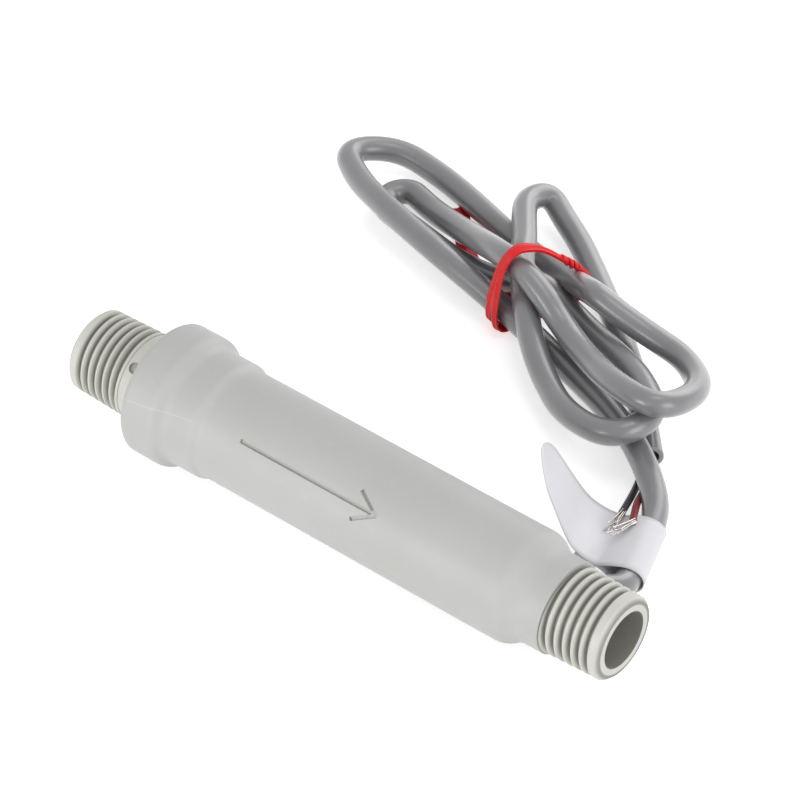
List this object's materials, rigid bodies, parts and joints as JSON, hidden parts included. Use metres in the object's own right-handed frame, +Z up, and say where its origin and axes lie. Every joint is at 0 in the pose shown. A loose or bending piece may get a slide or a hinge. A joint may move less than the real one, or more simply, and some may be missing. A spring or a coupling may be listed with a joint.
{
  "type": "inline piston flow switch",
  "caption": "Inline piston flow switch: round moulded body with a male taper pipe thread on each end, a sprung magnet piston, a reed switch and a tied cable lead.",
  "frame": {"origin": "on the ground under the flow axis, level with the lowest line of the collar, half a millimetre to the inlet side of the point midway between the two threaded ends", "axes": "+X along the flow from the collar (inlet) end to the plain (outlet) end, +Y to the side where the cable leaves, +Z up"},
  "size_m": [0.1034, 0.0887, 0.0209],
  "materials": {
    "jacket_grey": "moulded, satin",
    "thread_beige": "moulded, satin",
    "piston_white": "moulded, smooth",
    "magnet_dark": "ground ferrite",
    "spring_steel": "drawn wire",
    "seal_black": "matt",
    "reed_glass": "clear",
    "reed_alloy": "plated",
    "crimp_brass": "tinned",
    "insulation_red": "satin",
    "insulation_black": "satin",
    "potting_dark": "cast",
    "cable_grey": "satin",
    "tie_red": "satin",
    "label_white": "satin film",
    "tinned_copper": "tinned strands"
  },
  "bodies": {
    "housing": {"flow_tube": "thread_beige", "inlet_fitting": "thread_beige", "outer_jacket": "jacket_grey", "inlet_seal": "seal_black", "return_spring": "spring_steel", "reed_capsule": "reed_glass", "reed_blade_fixed": "reed_alloy", "reed_lead_inlet": "reed_alloy", "lead_crimp_inlet": "crimp_brass", "lead_crimp_outlet": "crimp_brass", "switch_conductor_black": "insulation_black", "switch_conductor_red": "insulation_red", "reed_potting": "potting_dark", "cable_gland": "cable_grey", "cable_lead": "cable_grey", "cable_hank": "cable_grey", "cable_bight": "cable_grey", "twist_tie": "tie_red", "cable_label": "label_white", "tail_conductor_black": "insulation_black", "tail_conductor_red": "insulation_red", "tail_strands_black": "tinned_copper", "tail_strands_red": "tinned_copper"},
    "piston": {"piston_body": "piston_white", "piston_magnet": "magnet_dark", "piston_cap": "piston_white"},
    "reed_blade": {"reed_blade_moving": "reed_alloy"}
  },
  "joints": [
    {"name": "piston_slide", "type": "slide", "parent": "housing", "child": "piston", "axis": [1, 0, 0], "range_m": [0, 0.009], "stiffness_N_per_m": 20, "springref_m": -0.004, "deforming": ["return_spring"]},
    {"name": "reed_close", "type": "hinge", "parent": "housing", "child": "reed_blade", "pos_m": [-0.0131, 0.00668, 0.00763], "axis": [0, -0.5, -0.866], "range_deg": [0, 1.7]}
  ],
  "couplings": [
    {"joint": "reed_close", "follows": "piston_slide", "rad_per_m": 3.29}
  ]
}
